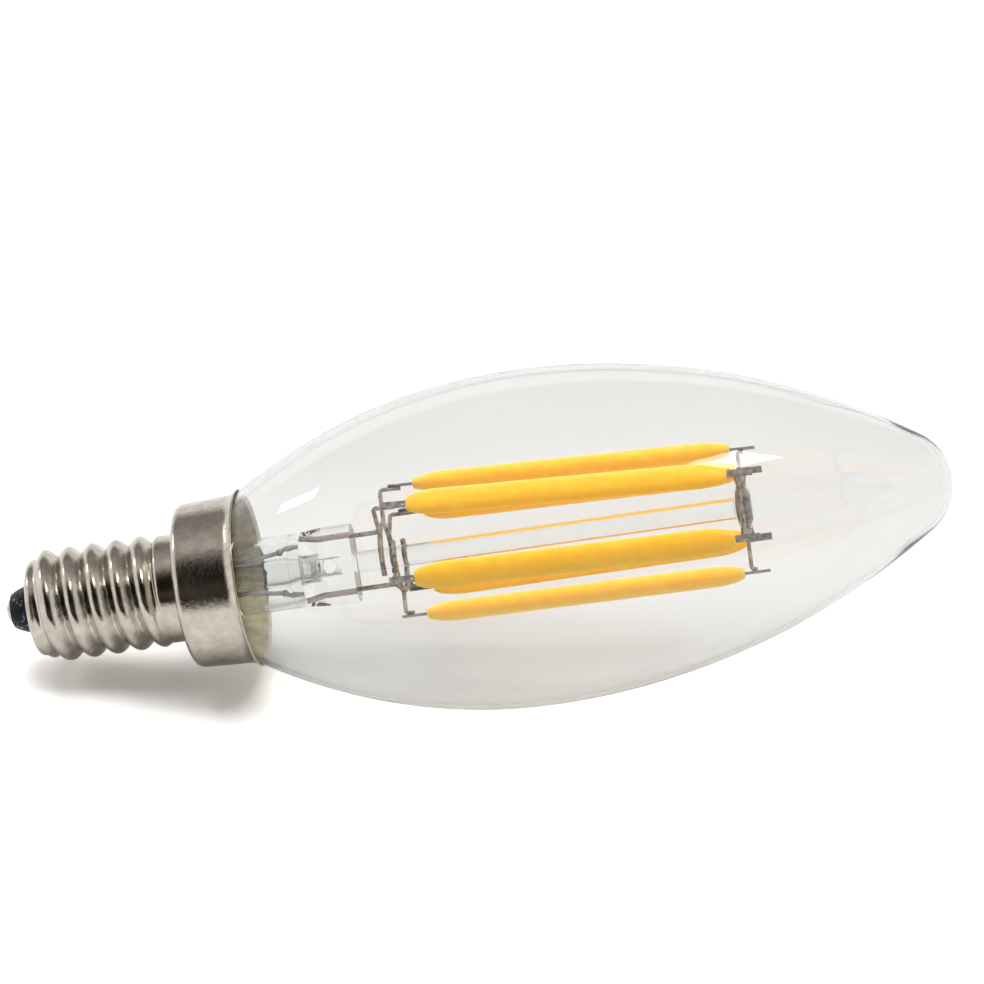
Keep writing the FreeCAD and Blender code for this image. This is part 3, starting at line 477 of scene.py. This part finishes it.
def thicken_tip(bm):
    """Push the inner wall inwards near the tip, unevenly, as drawn-off glass is."""
    for vert in bm.verts:
        radius = math.hypot(vert.co.x, vert.co.y)
        if not inner_wall(vert.co, radius):
            continue
        thick = ease((vert.co.z - TIP_START) / (LENGTH - TIP_START))
        wave = noise.noise(Vector((vert.co.x * 0.2, vert.co.y * 0.2, vert.co.z * 0.25)))
        push = thick * (TIP_THICKER + TIP_UNEVEN * wave)
        vert.co += (TIP_CENTRE - vert.co).normalized() * push


def inner_wall(point, radius):
    """True for a point of the inner wall: it lies closer than the outer face by half the wall."""
    if point.z < BELLY:
        return False
    outer = math.hypot(radius + NOSE_ARC - GLASS_RADIUS, point.z - BELLY)
    tip_centre = LENGTH - TIP_ARC
    beyond = math.hypot(radius, point.z - tip_centre) < TIP_ARC - GLASS_WALL / 2
    return outer < NOSE_ARC - GLASS_WALL / 2 and (beyond or point.z < tip_centre + TIP_JOINT)


section = glass_line(0.0) + glass_line(GLASS_WALL)[::-1]
shell = turn(section, 144, closed=False)
thicken_tip(shell)
lay_piece("bulb_glass", shell, blown_glass, ["glass_envelope"])

# %% [markdown]
# The cement fills the gap between the collar and the neck, up to the collar's lip. It was pressed in
# wet and holds on to the glass, so no air lies between them and its olive colour shows through at every
# angle. The drawing lets it reach a little into the wall for that reason.

# %% The cement behind the neck
CEMENT_TOP = 25.9
CEMENT_FOOT = 19.65
CEMENT_SIDE = 8.35
CEMENT_CONTACT = 0.06
CEMENT_BORE = 6.9
NECK_CURVE_END = 22.2
NECK_STEPS = 8


def neck_points(inset):
    """The neck's outer line from the cement's top down to the neck's end, inset a little."""
    arc_left = BELLY_ARC - inset
    points = []
    for i in range(NECK_STEPS + 1):
        height = CEMENT_TOP + (NECK_CURVE_END - CEMENT_TOP) * i / NECK_STEPS
        radius = GLASS_RADIUS - BELLY_ARC + math.sqrt(arc_left**2 - (BELLY - height) ** 2)
        points.append((max(radius, NECK_RADIUS - inset), height))
    return points + [(NECK_RADIUS - inset, NECK_BOTTOM)]


cement = [(CEMENT_BORE, CEMENT_FOOT), (CEMENT_SIDE - 0.4, CEMENT_FOOT), (CEMENT_SIDE, CEMENT_FOOT + 0.5)]
cement += [(8.56, 25.1), (8.69, 25.56), (8.92, CEMENT_TOP)]
cement += neck_points(CEMENT_CONTACT) + [(CEMENT_BORE, NECK_BOTTOM)]
cement_mesh = turn(cement, 96, closed=True)
lay_piece("neck_cement", cement_mesh, finishes["cement"], ["cement_ring"], sharp=40)

# %% [markdown]
# ## The screw shell
#
# The real shell is one thin sheet that was rolled over a threaded former, so the thread shows inside as
# well as outside. The drawing does the same: a plain can with an inner and an outer face is turned
# first, and then every point is pushed outwards by a wave that climbs one pitch for each turn.

# %% The rolled screw shell
THREAD_PITCH = 2.54
THREAD_DEPTH = 0.85
THREAD_PHASE = 1.04
CREST_SHARPNESS = 0.62
THREAD_TAKE_UP = 1.15
ROOT_RADIUS = 5.1
SHEET = 0.25
ROLL_START = 3.6
ROLL_END = 17.4
SHELL_FLOOR = 2.9
SHELL_TOP = 19.65
SHELL_NECK = 5.66
MOUTH_RADIUS = 2.6
FLANGE_RADIUS = 6.6
CAN_STEPS = 136
NECK_RISE = 0.35
DENT = 0.02


def can_line(inset):
    """The plain can's side, from its bottom corner up to its neck."""
    corner = ROLL_START - SHELL_FLOOR
    line = arc((ROOT_RADIUS - corner, SHELL_FLOOR + corner), corner - inset, -90, 0, 8)
    step = (ROLL_END - ROLL_START) / CAN_STEPS
    line += [(ROOT_RADIUS - inset, ROLL_START + step * i) for i in range(1, CAN_STEPS + 1)]
    line += [(ROOT_RADIUS - inset, ROLL_END + NECK_RISE * i) for i in range(1, 6)]
    return line


def roll_thread(bm):
    """Push the can's points outwards where the helical crest passes, and widen its neck."""
    for vert in bm.verts:
        radius = math.hypot(vert.co.x, vert.co.y)
        if radius < ROOT_RADIUS - SHEET - 0.02 or radius > ROOT_RADIUS + 0.02:
            continue
        height = vert.co.z
        angle = math.atan2(vert.co.y, vert.co.x)
        phase = math.tau * (height - THREAD_PHASE) / THREAD_PITCH - angle
        crest = ((1 + math.cos(phase)) / 2) ** CREST_SHARPNESS
        run_in = ease((height - ROLL_START) / THREAD_TAKE_UP)
        run_out = ease((ROLL_END - height) / THREAD_TAKE_UP)
        fade = min(run_in, run_out)
        neck = ease((height - ROLL_END + THREAD_TAKE_UP) / THREAD_TAKE_UP) * (SHELL_NECK - ROOT_RADIUS)
        dent = DENT * noise.noise(vert.co * 0.9)
        reach = radius + THREAD_DEPTH * crest * fade + neck + dent
        vert.co.x = reach * math.cos(angle)
        vert.co.y = reach * math.sin(angle)


can = can_line(0.0) + [(ROOT_RADIUS, SHELL_TOP), (FLANGE_RADIUS, SHELL_TOP)]
can += [(FLANGE_RADIUS, SHELL_TOP + SHEET), (ROOT_RADIUS - SHEET, SHELL_TOP + SHEET)]
can += can_line(SHEET)[::-1] + [(MOUTH_RADIUS, SHELL_FLOOR + SHEET), (MOUTH_RADIUS, SHELL_FLOOR)]
can_mesh = turn(can, 128, closed=True)
roll_thread(can_mesh)
lay_piece("rolled_screw_shell", can_mesh, shell_nickel, ["screw_shell"], sharp=50)

# %% [markdown]
# ## The collar
#
# The collar is a drawn cup. Its bottom corner is a soft round, its side opens a little, and its lip
# turns out along the glass and shows two bright edges. Its side is never quite true, and that is what
# makes the dark bands in it waver.

# %% The drawn collar
COLLAR_FLOOR = SHELL_TOP - SHEET
COLLAR_BASE = 8.6
COLLAR_RIM = 8.85
COLLAR_CORNER = 0.8
COLLAR_TOP = 26.2
LIP_FOOT = 25.2
LIP_INNER = 9.14
HOLE_RADIUS = 5.7
SIDE_RISE = 5.0
SIDE_STEPS = 24


def collar_section():
    corner_centre = (COLLAR_BASE - COLLAR_CORNER, COLLAR_FLOOR + COLLAR_CORNER)
    side = []
    for i in range(1, SIDE_STEPS):
        share = i / SIDE_STEPS
        radius = COLLAR_BASE + (COLLAR_RIM - COLLAR_BASE) * share
        side.append((radius, COLLAR_FLOOR + COLLAR_CORNER + SIDE_RISE * share))
    inner_side = [(radius - SHEET, height) for radius, height in reversed(side)]
    lip = [(COLLAR_RIM, LIP_FOOT)]
    lip += [(COLLAR_RIM + 0.1, LIP_FOOT + 0.32), (COLLAR_RIM + 0.32, LIP_FOOT + 0.7)]
    roll = arc((LIP_INNER + SHEET / 2, COLLAR_TOP - SHEET / 2), SHEET / 2, 0, 180, 8)
    inner_lip = [(COLLAR_RIM + 0.1, LIP_FOOT + 0.72), (COLLAR_RIM - 0.13, LIP_FOOT + 0.36)]
    inner_lip += [(COLLAR_RIM - SHEET, LIP_FOOT)]
    return (
        [(HOLE_RADIUS, COLLAR_FLOOR)]
        + arc(corner_centre, COLLAR_CORNER, -90, 0, 10)
        + side
        + lip
        + roll
        + inner_lip
        + inner_side
        + arc(corner_centre, COLLAR_CORNER - SHEET, 0, -90, 10)
        + [(HOLE_RADIUS, COLLAR_FLOOR + SHEET)]
    )


def waver(bm, amount, scale):
    """Move points in and out by a slow noise, as hand-fitted sheet is."""
    for vert in bm.verts:
        radius = math.hypot(vert.co.x, vert.co.y)
        if radius > 0.01:
            factor = 1 + amount * noise.noise(vert.co * scale) / radius
            vert.co.x *= factor
            vert.co.y *= factor


collar = turn(collar_section(), 160, closed=True)
waver(collar, 0.035, 0.3)
lay_piece("drawn_collar", collar, collar_nickel, ["collar"], sharp=50)

# %% [markdown]
# ## The light rods
#
# Each rod is a strip in a thick coat that was drawn on wet. It has a flat oval section, it narrows to
# blunt ends, and it is a little lumpy. The coat is turned first, then its two halves are moved apart
# for the flat, and a slow noise swells it here and there.

# %% The coats of the six light rods
CAGE_TURN = -10.0
BASE_SHIFTS = {2: 4.4, 3: 15.6, 5: -4.0, 6: 4.7}
TIP_SHIFTS = {2: 11.9, 3: 18.8, 5: 2.0, 6: 4.5}
CAGE_BASE = 6.9
CAGE_TIP = 6.5
RISE_BASE = 0.5
DROP_TIP = 0.35
LIGHT_BASE = 44.3
LIGHT_LENGTH = 33.3
LIGHT_THICK = 2.1
LIGHT_WIDE = 2.95
LIGHT_TAPER = 3.4
END_RADIUS = 0.5
SWELL = 0.02
TAPER_STEPS = 14
MIDDLE_STEPS = 16


def away_from_axis(degrees):
    angle = math.radians(degrees)
    return Vector((math.cos(angle), math.sin(angle), 0))


def rod_place(number):
    """The rod's own frame: z along it, x away from the cage's axis."""
    even = CAGE_TURN + 60 * (number - 1)
    base_turn = even + BASE_SHIFTS.get(number, 0)
    tip_turn = even + TIP_SHIFTS.get(number, 0)
    outward = away_from_axis((base_turn + tip_turn) / 2)
    base = away_from_axis(base_turn) * CAGE_BASE + Vector((-RISE_BASE, 0, LIGHT_BASE))
    tip = away_from_axis(tip_turn) * CAGE_TIP + Vector((DROP_TIP, 0, LIGHT_BASE + LIGHT_LENGTH))
    along = (tip - base).normalized()
    across = along.cross(outward).normalized()
    away = across.cross(along)
    turned = Matrix((away, across, along)).transposed().to_4x4()
    return Matrix.Translation(base) @ turned


def coat_line():
    """Half section of a coat: a round end, a long soft taper, the full width, and back."""
    full = LIGHT_THICK / 2
    drop = full - END_RADIUS
    big = (drop**2 + LIGHT_TAPER**2) / (2 * drop)
    line = [(0, 0), (END_RADIUS * 0.6, 0.02), (END_RADIUS * 0.9, 0.1)]
    for i in range(1, TAPER_STEPS + 1):
        height = LIGHT_TAPER * (i / TAPER_STEPS) ** 1.4
        line.append((full - big + math.sqrt(big**2 - (LIGHT_TAPER - height) ** 2), height))
    step = (LIGHT_LENGTH / 2 - LIGHT_TAPER) / MIDDLE_STEPS
    line += [(full, LIGHT_TAPER + step * i) for i in range(1, MIDDLE_STEPS + 1)]
    return line + [(radius, LIGHT_LENGTH - height) for radius, height in line[-2::-1]]


def light_coat(number):
    bm = turn(coat_line(), 48, closed=False)
    flat = (LIGHT_WIDE - LIGHT_THICK) / 2
    for vert in bm.verts:
        radius = math.hypot(vert.co.x, vert.co.y)
        share = ease((radius - 0.2) / 0.6)
        if radius > 0.01:
            vert.co.y += flat * share * vert.co.y / radius
        lump = noise.noise(Vector((number * 9.1, vert.co.y * 0.5, vert.co.z * 0.35)))
        swell = 1 + SWELL * lump * share
        vert.co.x *= swell
        vert.co.y *= swell
    place = rod_place(number)
    name = f"light_rod_{number}_coat"
    piece = lay_piece(f"silicone_coat_{number}", bm, coat_material, [name], place=place)
    piece.visible_shadow = False
    return piece


for rod_number in range(1, 7):
    light_coat(rod_number)

# %% [markdown]
# ## Floor, light and world
#
# The photograph was taken on white paper in a dark room and was exposed until the paper went past
# white, so only the core of the shadow is left of it. One plane with three whites does that: one for
# the camera, one for what the glass bends, and one for what the metal mirrors.

# %% The floor
FLOOR_WHITE = 0.80
FLOOR_THROUGH = 0.69
FLOOR_SEEN = 1.55


def floor_material():
    """White paper; the camera sees it overexposed, metal sees its true white, and glass a dimmer one."""
    material = bpy.data.materials.new("pale_floor")
    material.use_nodes = True
    tree = material.node_tree
    tree.nodes.clear()
    output = tree.nodes.new("ShaderNodeOutputMaterial")
    matt = tree.nodes.new("ShaderNodeBsdfDiffuse")
    path = tree.nodes.new("ShaderNodeLightPath")
    choices = []
    for ray, value in (("Is Transmission Ray", FLOOR_THROUGH), ("Is Camera Ray", FLOOR_SEEN)):
        choice = tree.nodes.new("ShaderNodeMix")
        choice.data_type = "RGBA"
        choice.inputs["A"].default_value = (FLOOR_WHITE, FLOOR_WHITE, FLOOR_WHITE, 1)
        choice.inputs["B"].default_value = (value, value, value, 1)
        tree.links.new(path.outputs[ray], choice.inputs["Factor"])
        choices.append(choice)
    tree.links.new(choices[0].outputs["Result"], choices[1].inputs["A"])
    tree.links.new(choices[1].outputs["Result"], matt.inputs["Color"])
    tree.links.new(matt.outputs[0], output.inputs["Surface"])
    return material


FLOOR_SIDE = 3.0
bm = bmesh.new()
bmesh.ops.create_grid(bm, x_segments=1, y_segments=1, size=FLOOR_SIDE)
floor_mesh = bpy.data.meshes.new("floor")
bm.to_mesh(floor_mesh)
bm.free()
floor_mesh.materials.append(floor_material())
floor = bpy.data.objects.new("floor", floor_mesh)
bpy.context.scene.collection.objects.link(floor)
print("floor", FLOOR_SIDE * 2, "m wide")

# %% [markdown]
# The world holds what the metal mirrors: darkness in front with one dull stripe, a soft grey overhead, a
# bright wall behind, and bright panels at both ends. One ramp over the angle from the front, up and over
# to the back, draws all but the panels. A second ramp, over how far a ray points sideways, draws those.

# %% What the metal mirrors
def world_ramp(tree, factor, *stops):
    ramp = tree.nodes.new("ShaderNodeValToRGB")
    elements = ramp.color_ramp.elements
    while len(elements) < len(stops):
        elements.new(0.5)
    for element, (position, colour) in zip(elements, stops):
        element.position = position
        element.color = (*colour, 1)
    tree.links.new(factor, ramp.inputs["Fac"])
    return ramp.outputs["Color"]


def world_math(tree, operation, first, second):
    node = tree.nodes.new("ShaderNodeMath")
    node.operation = operation
    for socket, value in zip(node.inputs, (first, second)):
        if isinstance(value, (int, float)):
            socket.default_value = value
        else:
            tree.links.new(value, socket)
    return node.outputs[0]


world = bpy.data.worlds.new("studio")
bpy.context.scene.world = world
world.use_nodes = True
tree = world.node_tree
tree.nodes.clear()
direction = tree.nodes.new("ShaderNodeTexCoord")
split = tree.nodes.new("ShaderNodeSeparateXYZ")
tree.links.new(direction.outputs["Generated"], split.inputs[0])
toward_front = world_math(tree, "MULTIPLY", split.outputs["Y"], -1.0)
turn_up = world_math(tree, "ARCTAN2", split.outputs["Z"], toward_front)
half_turn = world_math(tree, "DIVIDE", turn_up, math.pi)
over = world_ramp(
    tree,
    half_turn,
    (0.0, (0.012, 0.010, 0.008)),
    (0.06, (0.014, 0.012, 0.010)),
    (0.10, (0.075, 0.06, 0.048)),
    (0.14, (0.07, 0.056, 0.045)),
    (0.18, (0.014, 0.012, 0.010)),
    (0.33, (0.018, 0.015, 0.012)),
    (0.38, (0.13, 0.12, 0.11)),
    (0.50, (0.64, 0.62, 0.59)),
    (0.62, (0.40, 0.385, 0.365)),
    (0.76, (0.28, 0.265, 0.25)),
    (0.87, (0.30, 0.29, 0.275)),
    (0.905, (0.95, 0.94, 0.92)),
)
aside = world_math(tree, "ABSOLUTE", split.outputs["X"], 0.0)
panels = world_ramp(tree, aside, (0.62, (0, 0, 0)), (0.80, (1, 1, 1)))
blend = tree.nodes.new("ShaderNodeMix")
blend.data_type = "RGBA"
tree.links.new(panels, blend.inputs["Factor"])
tree.links.new(over, blend.inputs["A"])
blend.inputs["B"].default_value = (1.0, 0.98, 0.95, 1)
studio = tree.nodes.new("ShaderNodeBackground")
tree.links.new(blend.outputs["Result"], studio.inputs["Color"])
print("the world mirrors a studio")

# %% [markdown]
# The camera sees white behind everything, and clear glass mostly does too. Light that reaches the floor
# or a rod through the glass is already counted by the see-through rule of the glass. The world is a third
# weaker for rays that were bent on their way from there, and the lamps hide from them.

# %% What the camera and the glass see
COUNTED_TWICE = 0.35
WHITE_IN_GLASS = 0.7
white = tree.nodes.new("ShaderNodeBackground")
white.inputs["Color"].default_value = (0.98, 0.98, 0.98, 1)
path = tree.nodes.new("ShaderNodeLightPath")
unscattered = world_math(tree, "LESS_THAN", path.outputs["Diffuse Depth"], 0.5)
scattered = world_math(tree, "GREATER_THAN", path.outputs["Diffuse Depth"], 0.5)
twice = world_math(tree, "MULTIPLY", path.outputs["Is Transmission Ray"], scattered)
dimmed = world_math(tree, "MULTIPLY", twice, COUNTED_TWICE)
tree.links.new(world_math(tree, "SUBTRACT", 1.0, dimmed), studio.inputs["Strength"])
through = world_math(tree, "MULTIPLY", path.outputs["Is Transmission Ray"], unscattered)
through = world_math(tree, "MULTIPLY", through, WHITE_IN_GLASS)
straight = world_math(tree, "MAXIMUM", path.outputs["Is Camera Ray"], through)
swap = tree.nodes.new("ShaderNodeMixShader")
tree.links.new(straight, swap.inputs[0])
tree.links.new(studio.outputs[0], swap.inputs[1])
tree.links.new(white.outputs[0], swap.inputs[2])
world_output = tree.nodes.new("ShaderNodeOutputWorld")
tree.links.new(swap.outputs[0], world_output.inputs["Surface"])
print("the camera sees white")

# %% [markdown]
# A wide lamp, a little behind the zenith, lights the bulb and makes the soft shadow. It isn't mirrored,
# because the world already holds what the metal shows. Two small lamps are mirrored: they make the white
# window marks at the tip and at the neck.

# %% The lamps
def soft_lamp(name, place, width, height, power, mirrored):
    data = bpy.data.lights.new(name, "AREA")
    data.shape = "RECTANGLE"
    data.size = width
    data.size_y = height
    data.energy = power
    lamp = bpy.data.objects.new(name, data)
    lamp.location = place
    lamp.rotation_mode = "QUATERNION"
    lamp.rotation_quaternion = (Vector(place) - middle).to_track_quat("Z", "Y")
    lamp.visible_glossy = mirrored
    lamp.visible_transmission = False
    bpy.context.scene.collection.objects.link(lamp)
    return lamp


soft_lamp("top_lamp", (-0.05, 0.30, 1.24), 1.2, 1.2, 16.6, False)
soft_lamp("tip_side_lamp", (0.195, -0.101, 0.600), 0.14, 0.10, 0.40, True)
soft_lamp("neck_side_lamp", (-0.506, 0.186, 0.305), 0.07, 0.085, 0.20, True)
print("three lamps")
